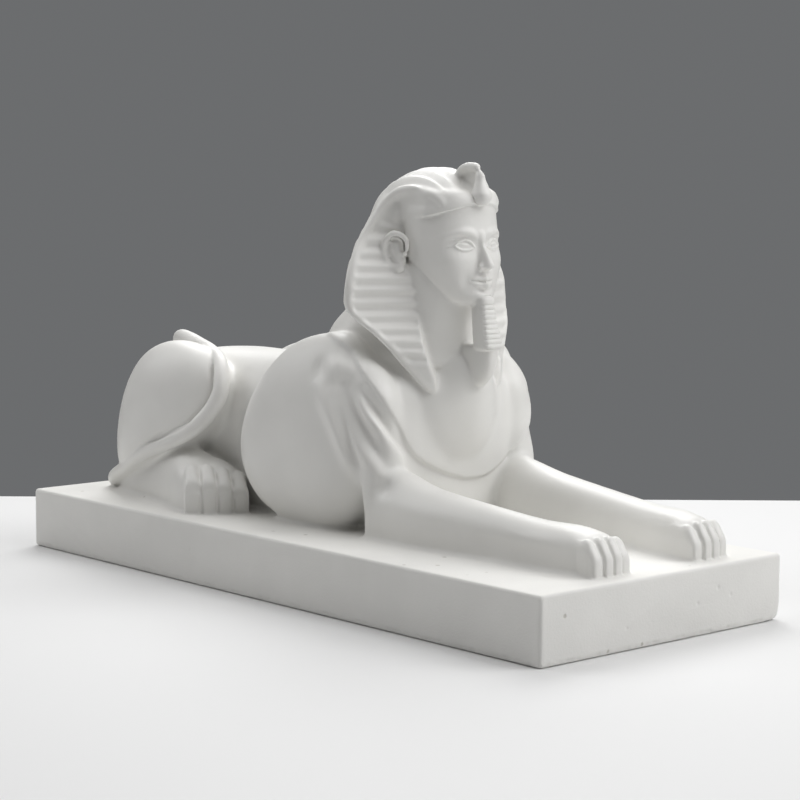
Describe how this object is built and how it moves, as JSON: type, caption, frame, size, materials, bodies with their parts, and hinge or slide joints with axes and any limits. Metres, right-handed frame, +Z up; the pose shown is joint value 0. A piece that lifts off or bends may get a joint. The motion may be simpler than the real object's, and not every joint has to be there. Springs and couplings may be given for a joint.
{
  "type": "sphinx statue",
  "caption": "Lying sphinx with a pleated head cloth, brow cobra, banded beard, broad collar and a tail curled over its thigh, cast in plaster in one with its plinth.",
  "frame": {"origin": "middle of the plinth's underside", "axes": "+Z up, the sphinx looks along -Y, its right side is at -X"},
  "size_m": [0.1826, 0.45, 0.2439],
  "materials": {
    "plaster": "off-white plaster, satin on the figure and matt on the plinth"
  },
  "bodies": {
    "root": {"sphinx_statue": "plaster"}
  },
  "joints": []
}
